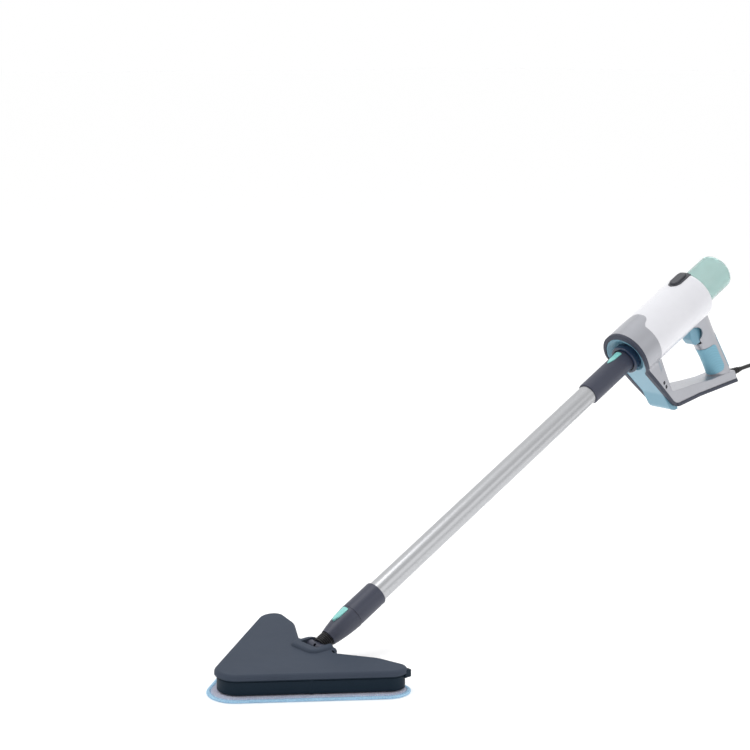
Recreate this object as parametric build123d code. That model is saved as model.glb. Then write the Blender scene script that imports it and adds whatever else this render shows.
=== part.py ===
from build123d import *
import math
import os

# Handheld steam mop: steam unit, extension tube, swivel neck and triangular floor head.
# World frame, millimetres: the floor is z = 0, the head's apex points to -Y, the pole leans back
# towards +Y, and X = 0 is the plane of symmetry.  The origin lies on the floor under the head's joint.
#
# The neck, pole and steam unit are drawn in the pole frame, which is then laid at its lean:
#   x = world X,  y = "drop", across the tube towards the handle's side,  z = "along", up the tube
#   from the joint.

os.makedirs("parts", exist_ok=True)

# ---------------------------------------------------------------- driving dimensions
LEAN = 27.7                     # tube's angle above the floor at rest, degrees
JOINT_HEIGHT = 30.0             # pitch axis above the floor

# floor head
CLOTH_THICK = 4.6
HOOK_THICK = 1.4
BASE_BOTTOM = CLOTH_THICK + HOOK_THICK
BASE_TOP = 28.0
COVER_TOP = 35.6
LIP_INSET = 3.2                 # how far the base stands inside the cover's lip
CLOTH_MARGIN = 8.0              # how far the cloth stands outside the cover's lip
CLOTH_SHIFT = -4.0              # cloth laid a little forward of the head
HEM_WIDTH = 6.0
APEX_Y = -196.0                 # where the two front edges would meet
APEX_RADIUS = 34.0
FRONT_CORNER = (156.0, 16.0)    # side corners of the lip, before rounding
REAR_CORNER = (152.0, 47.0)
REAR_BEND = (95.0, 33.0)
NOTCH = (35.0, -5.0)
TAIL = (30.0, 13.0)
HALF_WIDTH = 152.0              # widest half of the lip
SADDLE_HALF = 29.0
SADDLE_FRONT = -33.0
SADDLE_TOP = 39.6
SADDLE_BOTTOM = 24.0
SLOT_HALF = 17.5
SLOT_FRONT = -17.0
SLOT_FLOOR = 15.0

# joint and neck
YOKE_RADIUS = 8.0
TRUNNION_RADIUS = 3.5
RUNNING_GAP = 0.06              # radial clearance of pins and shafts
SWING_ALONG = 11.0              # side-swing axis above the pitch axis
NECK_START = 22.0
NECK_END = 72.0
NECK_TOP_RADIUS = 18.9
NECK_LOW_RADIUS = 12.6
BELLOWS_RADIUS = 12.0
BELLOWS_START = 4.6
BELLOWS_RINGS = 6

# pole
TUBE_RADIUS = 16.0
TUBE_WALL = 1.3
TUBE_START = 97.0
TUBE_END = 655.0
LOWER_START = 72.6
LOWER_END = 125.0
COUPLING_RADIUS = 18.6
UPPER_START = 632.0
UPPER_SHOULDER = 732.6
UPPER_END = 760.0
SPIGOT_RADIUS = 13.5

# release buttons of both couplings: leaf's point and square end, measured along the tube
NECK_LEAF = (38.0, 69.0)
UPPER_LEAF = (690.0, 724.0)
BUTTON_FLOOR = 11.2
BUTTON_HOLE = 2.5
BUTTON_TRAVEL = 2.5
SPRING_SEAT = 7.2
NECK_SEAL = 84.0
UPPER_SEAL = 748.0

# steam unit
LEG_FRONT = 765.0
LEG_REAR = 784.0
LEG_REAR_FOOT = 98.0
TOE_ALONG = 779.0
TOE_DROP = 128.0
BASE_REAR = 945.0
BASE_REAR_DROP = 190.0
BASE_REAR_TOP = 168.0
BASE_SLOPE = 0.385
BASE_TOP_SLOPE = 0.47
HANDLE_FRONT = 888.0
BARREL_RADIUS = 43.0
BARREL_DROP = -3.6
WALL = 2.5
FACE = 732.0                    # front face of the barrel
COLLAR_END = 775.0              # seam between the silver collar and the white cover
COVER_END = 922.0
SOCKET_FRONT = 728.0
SOCKET_RADIUS = 25.0
DISH_RADIUS = 38.5
LEG_HALF = 31.0
PANEL_HALF = 22.5
BUMPER_THICK = 6.0
BASE_HALF = 18.0
TANK_RADIUS = 31.5
TANK_DROP = -5.0
TANK_END = 995.0
TANK_WALL = 2.0
TANK_REST = 876.0               # inner end of the tank
OPENING_RADIUS = 36.5
DOCK = 850.0
TRIGGER_HALF = 10.5
GRIP_DEPTH = 1.3
HANDLE_LEAN = 0.1

# mains cord
CORD_DIAMETER = 7.0
CORD_LENGTH = 5000.0
COIL_CENTRE = (95.0, 1050.0)
COIL_MEAN_RADIUS = 42.0
COIL_COLUMNS = 5
COIL_LAYERS = 4

# ---------------------------------------------------------------- frames
PIVOT = Plane(
    origin=(0, 0, JOINT_HEIGHT),
    x_dir=(1, 0, 0),
    z_dir=(0, math.cos(math.radians(LEAN)), math.sin(math.radians(LEAN))),
)
POLE = PIVOT.location
SIDE = Plane(origin=(0, 0, 0), x_dir=(0, 0, 1), z_dir=(-1, 0, 0))   # sketch (along, drop)
TOP = Plane(origin=(0, 0, 0), x_dir=(1, 0, 0), z_dir=(0, -1, 0))    # sketch (x, along)


def save(node, shape, in_pole_frame=False):
    """Write one sub-part, moved out of the pole frame where it was drawn there."""
    solid = POLE * shape if in_pole_frame else shape
    solid.label = node
    export_step(solid, f"parts/{node}.step")


def outline(points, radii):
    """Closed face through corner points, each rounded by its own radius."""
    return make_face(FilletPolyline(*points, radius=list(radii), close=True))


def mirrored(points):
    """Corner points of the right half, then the same corners of the left half."""
    left = [(-x, y) for x, y in reversed(points) if abs(x) > 1e-6]
    return points + left


def rod(radius, start, end, x=0.0, drop=0.0):
    """Round bar along the pole."""
    return Pos(x, drop, start) * extrude(Circle(radius), end - start)


def cross_rod(radius, half, drop=0.0, along=0.0):
    """Round bar along X, centred on the plane of symmetry."""
    return Pos(-half, drop, along) * Rot(0, 90, 0) * extrude(Circle(radius), 2 * half)


def drop_rod(radius, start, end, x=0.0, along=0.0):
    """Round bar across the pole, from one drop to another."""
    return Pos(x, start, along) * Rot(-90, 0, 0) * extrude(Circle(radius), end - start)


def block(x_half, drop, along):
    """Rectangular block centred on x = 0, between two drops and two stations."""
    size = (2 * x_half, drop[1] - drop[0], along[1] - along[0])
    return Pos(0, (drop[0] + drop[1]) / 2, (along[0] + along[1]) / 2) * Box(*size)


def side_slab(points, radii, half):
    """Slab of equal thickness either side of the plane of symmetry, drawn in the side view."""
    return extrude(SIDE * outline(points, radii), half, both=True)


# ---------------------------------------------------------------- floor head
def head_outline(grow=0.0):
    """Plan outline of the head: a rounded triangle with a notch at the rear."""
    corners = [(0, APEX_Y), FRONT_CORNER, REAR_CORNER, REAR_BEND, NOTCH, TAIL]
    radii = [APEX_RADIUS, 26, 17, 40, 7, 6]
    points = mirrored(corners)
    face = outline(points, radii + radii[:0:-1])
    if grow == 0:
        return face
    return offset(face, grow, kind=Kind.ARC)


def plate(face, bottom, top):
    return Pos(0, 0, bottom) * extrude(face, top - bottom)


def joint_slot(half, front, floor):
    """Space for the swivelling neck: open to the rear and the top."""
    length = 90.0
    return Pos(0, front + length / 2, floor + 30) * Box(2 * half, length, 60)


def world_cross_rod(radius, start, end):
    """Bar along X on the pitch axis, from one x to another."""
    return Pos(start, 0, JOINT_HEIGHT) * Rot(0, 90, 0) * extrude(Circle(radius), end - start)


def make_head_top_cover():
    """Shallow lid with a rolled edge, and the raised saddle round the joint."""
    lid = plate(head_outline(), BASE_TOP, COVER_TOP)
    top_edges = lid.edges().group_by(Axis.Z)[-1]
    lid = fillet(top_edges, 5.5)
    inside = plate(head_outline(-3.0), BASE_TOP - 1, COVER_TOP - 3.0)
    saddle = saddle_block()
    saddle = fillet(saddle.edges().group_by(Axis.Z)[-1], 6.0)
    slot = joint_slot(SLOT_HALF, SLOT_FRONT, SLOT_FLOOR)
    lid = lid - inside + saddle - slot
    bore = world_cross_rod(TRUNNION_RADIUS + RUNNING_GAP, -SADDLE_HALF - 5, SADDLE_HALF + 5)
    plug_hole = world_cross_rod(TRUNNION_RADIUS + 1.0, SADDLE_HALF - 3, SADDLE_HALF + 5)
    plug_hole += world_cross_rod(TRUNNION_RADIUS + 1.0, -SADDLE_HALF - 5, 3 - SADDLE_HALF)
    screw_posts = Sketch() + [Pos(x, y) * Circle(4.5) for x, y in head_screw_places()]
    posts = Pos(0, 0, BASE_TOP) * extrude(screw_posts, COVER_TOP - 2.5 - BASE_TOP)
    pilot = Sketch() + [Pos(x, y) * Circle(1.45) for x, y in head_screw_places()]
    return lid + posts - bore - plug_hole - Pos(0, 0, BASE_TOP - 1) * extrude(pilot, 7)


def saddle_block(grow=0.0):
    """Rounded block that carries the pitch pins, from inside the base to above the lid."""
    length = TAIL[1] - SADDLE_FRONT
    face = RectangleRounded(2 * (SADDLE_HALF + grow), length + 2 * grow, 14 + grow)
    height = SADDLE_TOP - SADDLE_BOTTOM + grow
    return Pos(0, SADDLE_FRONT + length / 2, SADDLE_BOTTOM - grow) * extrude(face, height)


def head_screw_places():
    return [(0, -160), (80, -75), (-80, -75), (118, 8), (-118, 8)]


def make_head_base():
    """Tray under the lid: floor plate, skirt wall with a groove, and steam holes."""
    skirt = head_outline(-LIP_INSET)
    tray = plate(skirt, BASE_BOTTOM, BASE_TOP)
    tray = fillet(tray.edges().group_by(Axis.Z)[0], 1.5)
    tray -= plate(head_outline(-LIP_INSET - 2.2), BASE_BOTTOM + 2.6, BASE_TOP + 1)
    low, high = BASE_TOP - 3.5, BASE_TOP - 2.7
    groove = plate(head_outline(1), low, high) - plate(head_outline(-LIP_INSET - 0.7), low, high)
    tray -= groove
    bosses = Sketch() + [Pos(x, y) * Circle(4.5) for x, y in head_screw_places()]
    tray += Pos(0, 0, BASE_BOTTOM) * extrude(bosses, BASE_TOP - BASE_BOTTOM)
    through = Sketch() + [Pos(x, y) * Circle(1.8) for x, y in head_screw_places()]
    heads = Sketch() + [Pos(x, y) * Circle(3.4) for x, y in head_screw_places()]
    tray -= Pos(0, 0, BASE_BOTTOM - 1) * extrude(through, BASE_TOP - BASE_BOTTOM + 2)
    tray -= Pos(0, 0, BASE_BOTTOM - 1) * extrude(heads, 5)
    tray -= Pos(0, 0, BASE_BOTTOM - 1) * extrude(steam_holes(1.2), 6)
    return tray - saddle_block(0.1) - joint_slot(SLOT_HALF + 1.0, SLOT_FRONT - 1.0, SLOT_FLOOR)


def steam_hole_places():
    """Two rows that follow the front edges, fed by the distributor's arms."""
    row = [(16 + 15 * k, -128 + 22 * k) for k in range(5)]
    return row + [(-x, y) for x, y in row]


def steam_holes(radius):
    return Sketch() + [Pos(x, y) * Circle(radius) for x, y in steam_hole_places()]


def make_steam_distributor():
    """V-shaped steam channel that lies on the base plate, with its inlet at the joint."""
    arm_end = (82.0, -34.0)
    arm_start = (8.0, -142.5)
    arm = math.dist(arm_start, arm_end)
    turn = math.degrees(math.atan2(arm_end[1] - arm_start[1], arm_end[0] - arm_start[0]))
    middle = ((arm_start[0] + arm_end[0]) / 2, (arm_start[1] + arm_end[1]) / 2)
    solid_arm = Pos(*middle) * Rot(0, 0, turn) * RectangleRounded(arm, 14, 6)
    hollow_arm = Pos(*middle) * Rot(0, 0, turn) * RectangleRounded(arm - 4, 10, 4)
    body = solid_arm + mirror(solid_arm, Plane.YZ) + Pos(0, -85) * Rectangle(14, 100)
    hollow = hollow_arm + mirror(hollow_arm, Plane.YZ) + Pos(0, -86) * Rectangle(10, 94)
    low = BASE_BOTTOM + 2.6
    shell = Pos(0, 0, low) * extrude(body, 8) - Pos(0, 0, low - 1) * extrude(hollow, 7)
    inlet = Pos(0, -40, low + 8) * (extrude(Circle(4), 5))
    return shell + inlet - Pos(0, -40, low + 5) * extrude(Circle(2.4), 10)


def make_hook_strips():
    """Three hook-and-loop strips bonded under the base."""
    front = Pos(0, -148) * Rectangle(30, 12)
    side = Pos(88, -22) * Rot(0, 0, 57) * Rectangle(70, 12)
    strips = front + side + mirror(side, Plane.YZ)
    return Pos(0, 0, CLOTH_THICK) * extrude(strips, HOOK_THICK)


def make_cloth_catches():
    """Small catches at the two rear corners that hold the cloth's edge."""
    catch = Pos(HALF_WIDTH - 3.0, 37, BASE_TOP - 1.5) * Box(8, 11, 11)
    catch = fillet(catch.edges(), 1.5)
    catch -= plate(head_outline(), BASE_TOP - 0.1, COVER_TOP) + plate(head_outline(-LIP_INSET), 0, BASE_TOP)
    body = catch.solids().sort_by(Axis.X)[-1]
    return Compound([body, mirror(body, Plane.YZ)])


def make_head_screws():
    screws = []
    for x, y in head_screw_places():
        shank = Pos(x, y, BASE_BOTTOM + 4) * extrude(Circle(1.45), BASE_TOP + 5 - BASE_BOTTOM - 4)
        top = Pos(x, y, BASE_BOTTOM + 1.6) * extrude(Circle(3.0), 2.4)
        cross = Pos(x, y, BASE_BOTTOM + 1.6) * (Box(3.6, 0.8, 2.0) + Box(0.8, 3.6, 2.0))
        screws.append(shank + top - cross)
    return Compound(screws)


def make_cloth():
    """Microfibre cloth: the padded middle and the bound hem round it."""
    middle = plate(head_outline(CLOTH_MARGIN - HEM_WIDTH), 0, CLOTH_THICK)
    hem = plate(head_outline(CLOTH_MARGIN), 0, CLOTH_THICK - 0.6)
    hem -= plate(head_outline(CLOTH_MARGIN - HEM_WIDTH), -1, CLOTH_THICK)
    return Pos(0, CLOTH_SHIFT, 0) * middle, Pos(0, CLOTH_SHIFT, 0) * hem


# ---------------------------------------------------------------- swivel joint (pole frame)
def make_joint_yoke():
    """Trunnion barrel on the pitch axis with two ears that carry the side-swing pin."""
    barrel = cross_rod(YOKE_RADIUS, SLOT_HALF - 0.6)
    ear = Pos(0, 6.4, 0) * block(5.0, (-1.2, 1.2), (0, SWING_ALONG))
    ear += drop_rod(5.0, 5.2, 7.6, along=SWING_ALONG)
    ears = ear + mirror(ear, Plane.XZ)
    bellows_seat = rod(BELLOWS_RADIUS + 0.3, BELLOWS_START, 20.0)
    steam_way = drop_rod(2.4, -12, 12, along=-2.0) - block(20, (0, 20), (-20, 20))
    bore = cross_rod(TRUNNION_RADIUS, SLOT_HALF + 2)
    pin_bore = drop_rod(2.0, -10, 10, along=SWING_ALONG)
    return barrel - bellows_seat + ears - bore - pin_bore - steam_way


def make_pitch_pins():
    """Stub shafts pressed into the yoke that turn in the saddle's bores."""
    pin = Pos(8, 0, 0) * Rot(0, 90, 0) * extrude(Circle(TRUNNION_RADIUS), SADDLE_HALF - 3.5 - 8)
    return Compound([pin, mirror(pin, Plane.YZ)])


def make_swing_pin():
    return drop_rod(2.0, -7.6, 7.6, along=SWING_ALONG)


def make_mop_neck():
    """Tapered neck with a hinge tongue below, a spigot above and a pocket for its button."""
    low = Pos(0, 0, NECK_START) * Circle(NECK_LOW_RADIUS)
    middle = Pos(0, 0, 50) * Circle(17.2)
    high = Pos(0, 0, NECK_END) * Circle(NECK_TOP_RADIUS)
    body = loft([low, middle, high])
    spigot = rod(SPIGOT_RADIUS, NECK_END, NECK_END + 22)
    groove = rod(SPIGOT_RADIUS + 1, NECK_SEAL, NECK_SEAL + 3)
    groove -= rod(SPIGOT_RADIUS - 1.6, NECK_SEAL - 1, NECK_SEAL + 4)
    tongue = block(5.0, (-4.9, 4.9), (SWING_ALONG, NECK_START + 1))
    tongue += drop_rod(5.0, -4.9, 4.9, along=SWING_ALONG)
    pin_bore = drop_rod(2.0 + RUNNING_GAP, -10, 10, along=SWING_ALONG)
    hose_way = rod(2.1, NECK_START - 1, 42, x=7.0)
    pocket = leaf_block(*NECK_LEAF, 0.25, -22, -BUTTON_FLOOR)
    stem = drop_rod(BUTTON_HOLE, -BUTTON_FLOOR - 0.5, -SPRING_SEAT, along=sum(NECK_LEAF) / 2 + 4)
    return body + spigot - groove + tongue - pin_bore - rod(3.0, 40, 100) - hose_way - pocket - stem


def leaf_face(point, wide, grow):
    """Leaf shape in the (x, along) view: pointed at one end, square at the other."""
    tip = 1 if wide > point else -1
    length = abs(wide - point)
    half = 6.0 + grow
    corners = [
        (0, point - tip * grow * 2),
        (half * 0.78, point + tip * length * 0.42),
        (half, wide + tip * grow),
        (-half, wide + tip * grow),
        (-half * 0.78, point + tip * length * 0.42),
    ]
    return outline(corners, [1.5, 10, 2.0, 2.0, 10])


def leaf_block(point, wide, grow, low, high):
    """Leaf outline carried through the wall between two drops."""
    return Pos(0, high, 0) * extrude(TOP * leaf_face(point, wide, grow), high - low)


def leaf_button(leaf, radius):
    """Release button whose face follows the coupling's round wall, with a stem for its spring."""
    floor = -BUTTON_FLOOR - BUTTON_TRAVEL - 0.3
    body = leaf_block(*leaf, 0.0, -radius - 4, floor)
    body &= rod(radius + 0.9, min(leaf) - 5, max(leaf) + 5)
    return body + drop_rod(1.2, floor - 0.5, floor + 2.2, along=sum(leaf) / 2 + 4)


def leaf_spring_coil(leaf):
    """Small compression spring under a release button."""
    length = BUTTON_FLOOR + BUTTON_TRAVEL + 0.3 - SPRING_SEAT
    spring = helix_spring(1.75, 0.3, length - 0.8, 4)
    return Pos(0, -SPRING_SEAT - length + 0.4, sum(leaf) / 2 + 4) * Rot(-90, 0, 0) * spring


def helix_spring(radius, wire, length, turns):
    """Open helical spring along +Z from z = 0."""
    path = Helix(pitch=length / turns, height=length, radius=radius)
    section = Plane(origin=path @ 0, z_dir=path % 0) * Circle(wire)
    return sweep(section, path=path, is_frenet=True)


def make_bellows():
    """Rubber bellows over the side-swing hinge."""
    pitch = (NECK_START - BELLOWS_START) / BELLOWS_RINGS
    profile = [(9.6, BELLOWS_START)]
    for k in range(BELLOWS_RINGS):
        base = BELLOWS_START + pitch * k
        profile += [(BELLOWS_RADIUS - 1.8, base + 0.05 * pitch), (BELLOWS_RADIUS, base + 0.5 * pitch)]
    profile += [(BELLOWS_RADIUS - 1.8, NECK_START), (9.6, NECK_START)]
    face = make_face(Polyline(*[(r, 0, z) for r, z in profile], close=True))
    return revolve(face, Axis.Z, 360)


# ---------------------------------------------------------------- pole (pole frame)
def make_lower_coupling():
    body = rod(COUPLING_RADIUS, LOWER_START, LOWER_END)
    body = fillet(body.edges().group_by(Axis.Z)[-1], 1.5)
    neck_bore = rod(SPIGOT_RADIUS + RUNNING_GAP, LOWER_START - 1, TUBE_START)
    return body - neck_bore - rod(TUBE_RADIUS, TUBE_START, LOWER_END + 1)


def make_extension_tube():
    return rod(TUBE_RADIUS, TUBE_START, TUBE_END) - rod(TUBE_RADIUS - TUBE_WALL, TUBE_START - 1, TUBE_END + 1)


def make_steam_hose():
    """Silicone hose that carries steam through the tube."""
    return rod(4.5, TUBE_START + 0.5, TUBE_END + 8) - rod(3.0, TUBE_START - 1, TUBE_END + 10)


def make_upper_coupling():
    """Sleeve over the tube's top, with the spigot that enters the unit's outlet."""
    sleeve = rod(COUPLING_RADIUS, UPPER_START, UPPER_SHOULDER)
    sleeve = fillet(sleeve.edges().group_by(Axis.Z)[0], 1.5)
    spigot = rod(SPIGOT_RADIUS, UPPER_SHOULDER, UPPER_END)
    groove = rod(SPIGOT_RADIUS + 1, UPPER_SEAL, UPPER_SEAL + 3)
    groove -= rod(SPIGOT_RADIUS - 1.6, UPPER_SEAL - 1, UPPER_SEAL + 4)
    tube_bore = rod(TUBE_RADIUS, UPPER_START - 1, TUBE_END)
    hose_bore = rod(4.5, TUBE_END - 1, TUBE_END + 8)
    steam_way = rod(3.0, TUBE_END, UPPER_END + 1)
    pocket = leaf_block(*UPPER_LEAF, 0.25, -22, -BUTTON_FLOOR)
    stem = drop_rod(BUTTON_HOLE, -BUTTON_FLOOR - 0.5, -SPRING_SEAT, along=sum(UPPER_LEAF) / 2 + 4)
    return sleeve + spigot - groove - tube_bore - hose_bore - steam_way - pocket - stem


def o_ring(station):
    """Seal in a spigot's groove, just under the bore's size."""
    ring = rod(SPIGOT_RADIUS - 0.02, station + 0.2, station + 2.8) - rod(SPIGOT_RADIUS - 1.6, station, station + 3)
    return ring


# ---------------------------------------------------------------- steam unit (pole frame)
def keyhole(grow=0.0):
    """Front outline of the unit: round barrel over a narrower leg."""
    barrel = Pos(0, BARREL_DROP) * Circle(BARREL_RADIUS + grow)
    leg = Pos(0, 130) * Rectangle(2 * (LEG_HALF + grow), 220)
    face = barrel + leg
    waist = [v for v in face.vertices() if 10 < v.Y < 60]
    return fillet(waist, 16)


def panel_outline(grow=0.0):
    """Outline of the light blue front: a round dish surround over a narrow strip."""
    dish = Circle(DISH_RADIUS + grow)
    strip = Pos(0, 110) * Rectangle(2 * (PANEL_HALF + grow), 200)
    face = dish + strip
    waist = [v for v in face.vertices() if 10 < v.Y < 60]
    return fillet(waist, 12)


def behind(inset=0.0):
    """Side-view region behind the unit's front and above its underside, set in by a distance."""
    far_along, far_drop = 1200, -160
    corners = [
        (FACE, far_drop),
        (FACE, 8),
        (LEG_FRONT, 92),
        (TOE_ALONG, TOE_DROP),
        (far_along, BASE_REAR_DROP + (far_along - BASE_REAR) * BASE_SLOPE),
        (far_along, far_drop),
    ]
    face = outline(corners, [0, 70, 45, 34, 0, 0])
    if inset == 0:
        return face
    return offset(face, -inset, kind=Kind.ARC)


def side_solid(face, half=60.0):
    return extrude(SIDE * face, half, both=True)


def along_solid(face, start, end):
    """Front-view face carried along the barrel."""
    return Pos(0, 0, start) * extrude(face, end - start)


def plan_solid(grow=0.0):
    """Plan-view envelope of the leg and base bar: wide in front, slim at the handle."""
    wide, slim = LEG_HALF + grow, BASE_HALF + grow
    right = [(wide, 600), (wide, 757), (slim + 7, 790), (slim, 850), (slim, 1000)]
    face = outline(mirrored(right), [0, 30, 40, 70, 0, 0, 70, 40, 30, 0])
    return extrude(TOP * face, 260, both=True)


def plan_envelope():
    """Plan envelope of the leg, wider at the barrel and drawn in behind it."""
    right = [(44, 600), (44, 738), (31, 770), (21, 790)]
    waist = extrude(TOP * outline(mirrored(right), [0] * 8), 60, both=True)
    return plan_solid() + (waist & block(60, (-60, 48), (600, 800)))


def leg_and_base(inset=0.0):
    """Side-view outline of the leg and base bar behind the bumpers."""
    top_drop = 12.0
    corners = [
        (600, top_drop),
        (LEG_REAR, top_drop),
        (LEG_REAR, LEG_REAR_FOOT),
        (HANDLE_FRONT, LEG_REAR_FOOT + (HANDLE_FRONT - LEG_REAR) * BASE_TOP_SLOPE),
        (BASE_REAR + 2, BASE_REAR_TOP),
        (BASE_REAR, 260),
        (600, 260),
    ]
    face = outline(corners, [0, 0, 13, 20, 3, 0, 0])
    return face if inset == 0 else offset(face, -inset, kind=Kind.ARC)


def handle_section(along, drop, depth, width):
    """Rounded section across the handle."""
    plane = Plane(origin=(0, drop, along), x_dir=(1, 0, 0), z_dir=(0, 1, HANDLE_LEAN))
    return plane * Ellipse(width / 2, depth / 2)


def handle_solid(inset=0.0, start=30.0, end=172.0):
    """Leaning handle, a little slimmer in the middle."""
    stations = [(907, 28, 54, 44), (912, 58, 50, 38), (919.5, 98, 44, 33.5), (924.5, 135, 44, 34), (926, 176, 46, 36)]
    body = loft([handle_section(a, d, p - 2 * inset, w - 2 * inset) for a, d, p, w in stations])
    return body & block(60, (start, end), (800, 1000))


def frame_solid(inset=0.0):
    """Leg and base bar, set in by a distance for the hollow inside."""
    region = side_solid(behind(BUMPER_THICK + inset)) & side_solid(leg_and_base(inset))
    plan = plan_envelope() if inset == 0 else plan_solid(-inset)
    return region & along_solid(keyhole(-inset), 650, 1000) & plan


def barrel_solid(inset, start, end):
    return rod(BARREL_RADIUS - inset, start, end, drop=BARREL_DROP)


def collar_tongue(grow=0.0):
    """Rounded tongue of the collar that runs back over the top of the cover."""
    corners = [(40, 700), (40, COLLAR_END - 12), (21 + grow, COLLAR_END + 2 + grow), (15 + grow, 795 + grow)]
    face = outline(mirrored(corners), [0, 15, 19, 13, 13, 19, 15, 0])
    cut = Pos(0, -20, 0) * extrude(TOP * face, 40)
    return cut


def body_outer():
    """Whole silver body before it is hollowed and parted."""
    collar = barrel_solid(0, FACE + BUMPER_THICK, COLLAR_END)
    tongue = barrel_solid(0, COLLAR_END - 20, 830) & collar_tongue()
    return frame_solid() + (collar + tongue + handle_solid()) & side_solid(behind(BUMPER_THICK))


def body_inner():
    """Hollow inside the silver body."""
    collar = barrel_solid(WALL, FACE + BUMPER_THICK + 2.0, 900)
    handle = handle_solid(WALL, start=20.0, end=168.0)
    return frame_solid(WALL) + (collar + handle) & side_solid(behind(BUMPER_THICK + WALL))


def barrel_cover():
    """White sleeve from the collar's seam to the rear, its lower rear corner cut off."""
    sleeve = barrel_solid(0, COLLAR_END, COVER_END)
    sleeve = fillet(sleeve.edges().group_by(Axis.Z)[-1], 5.0)
    sleeve -= barrel_solid(WALL, COLLAR_END - 1, COVER_END - WALL)
    sleeve -= rod(OPENING_RADIUS, COVER_END - 10, COVER_END + 1, drop=TANK_DROP)
    sleeve -= collar_tongue() & barrel_solid(-1, COLLAR_END - 20, 830)
    sleeve -= handle_solid() + frame_solid()
    return sleeve - cradle_solid(0.1)


def cradle_face(grow=0.0):
    """Plan outline of the tank button's cradle: pointed in front, as wide as the button behind."""
    corners = [(0, 879 - grow), (8.5 + grow, 884 - grow), (12 + grow, 893), (12 + grow, 960)]
    return outline(mirrored(corners), [6, 6, 10, 0, 0, 10, 6])


def cradle_solid(grow=0.0):
    reach = Pos(0, -30, 0) * extrude(TOP * cradle_face(grow), 30)
    return reach & (barrel_solid(-0.9, 870, COVER_END - 0.5) - barrel_solid(5.0, 860, 930))


def make_tank_collar():
    """Dark ring round the tank's mouth with a guide sleeve and the button's cradle."""
    sleeve = rod(33.6, 884, COVER_END, drop=TANK_DROP)
    ring = rod(OPENING_RADIUS - 0.1, COVER_END - 9, COVER_END + 1.5, drop=TANK_DROP)
    seat = rod(39.0, COVER_END - 12, COVER_END - 9, drop=TANK_DROP)
    body = sleeve + ring + (seat & barrel_solid(WALL + 0.1, 880, 930)) + cradle_solid()
    body += block(9.0, (-44.0, -36.0), (888, 916))
    body -= rod(TANK_RADIUS + RUNNING_GAP, 800, 1000, drop=TANK_DROP)
    pocket = Pos(0, -38.6, 0) * extrude(TOP * tank_button_face(0.25), 20)
    body -= pocket
    return body


def tank_button_face(grow=0.0):
    half, start, end = 8.2 + grow, 885.0 - grow, 917.0 + grow
    corners = [(half - 3.5, start), (half, start + 5), (half, end - 5), (half - 3.5, end)]
    return outline(mirrored(corners), [2.5] * 8)


def make_tank_button():
    """Long rounded press button that frees the tank."""
    body = Pos(0, -42.0, 0) * extrude(TOP * tank_button_face(), 8.4)
    body = fillet(body.faces().sort_by(Axis.Y)[0].edges(), 1.4)
    return body - drop_rod(2.9, -45.0, -41.0, along=901.0)


def make_tank_button_spring():
    return Pos(0, -44.5, 901.0) * Rot(-90, 0, 0) * helix_spring(2.2, 0.35, 5.5, 4)


def make_water_tank():
    """Round tank with a rolled closed end and a short neck for its cap."""
    outer = rod(TANK_RADIUS, TANK_REST, TANK_END, drop=TANK_DROP)
    outer = fillet(outer.edges().group_by(Axis.Z)[-1], 7.5)
    inner = rod(TANK_RADIUS - TANK_WALL, TANK_REST + TANK_WALL, TANK_END - TANK_WALL, drop=TANK_DROP)
    inner = fillet(inner.edges().group_by(Axis.Z)[-1], 5.5)
    neck = rod(12, TANK_REST - 8, TANK_REST, drop=TANK_DROP)
    mouth = rod(10.3, TANK_REST - 9, TANK_REST + 3, drop=TANK_DROP)
    return outer + neck - inner - mouth


def make_tank_cap():
    cap = rod(15, TANK_REST - 10, TANK_REST - 0.5, drop=TANK_DROP)
    cap = fillet(cap.edges().group_by(Axis.Z)[0], 1.0)
    for k in range(18):
        turn = Pos(0, TANK_DROP, 0) * Rot(0, 0, 20 * k)
        cap -= turn * Pos(15.4, 0, TANK_REST - 7) * extrude(Circle(0.9), 9)
    cap -= rod(12, TANK_REST - 8, TANK_REST, drop=TANK_DROP)
    return cap - rod(3.1, TANK_REST - 12, TANK_REST, drop=TANK_DROP)


def make_tank_valve():
    """Plunger that the dock's spigot lifts when the tank is home."""
    stem = rod(3.0, TANK_REST - 13.5, TANK_REST - 4, drop=TANK_DROP)
    return stem + rod(6.0, TANK_REST - 8, TANK_REST - 5.5, drop=TANK_DROP)


def make_tank_dock():
    """Bulkhead that holds the spigot for the tank and closes the pump's space."""
    plate_solid = barrel_solid(WALL + 0.1, DOCK, DOCK + 3)
    cup = rod(19, DOCK, DOCK + 14, drop=TANK_DROP) - rod(16.5, DOCK + 3, DOCK + 15, drop=TANK_DROP)
    spigot = rod(2.5, DOCK, TANK_REST - 13.6, drop=TANK_DROP)
    nipple = rod(3.6, DOCK - 6, DOCK, drop=PUMP_DROP)
    passage = rod(1.6, DOCK - 7, TANK_REST - 13.5, drop=TANK_DROP) & rod(1.6, DOCK + 1, 900, drop=TANK_DROP)
    wire_gap = block(20, (28, 60), (DOCK - 1, DOCK + 4))
    return plate_solid + cup + spigot + nipple - passage - wire_gap


PUMP_DROP = 19.0
BOILER_DROP = -17.0
BOILER_RADIUS = 20.0
BOILER_START = 786.0
BOILER_END = 838.0


def make_outlet_socket():
    """Navy ring in the front with the bore that takes the pole's spigot."""
    ring = rod(SOCKET_RADIUS, SOCKET_FRONT, FACE + 14)
    ring = fillet(ring.edges().group_by(Axis.Z)[0], 2.0)
    body = ring + rod(17.5, FACE + 14, UPPER_END + 6) + rod(4.0, UPPER_END + 6, UPPER_END + 12)
    body -= rod(20.4, SOCKET_FRONT - 1, UPPER_SHOULDER + 0.6)
    body -= rod(SPIGOT_RADIUS + RUNNING_GAP, UPPER_SHOULDER, UPPER_END + 2)
    return body - rod(2.2, UPPER_END, UPPER_END + 20)


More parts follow.
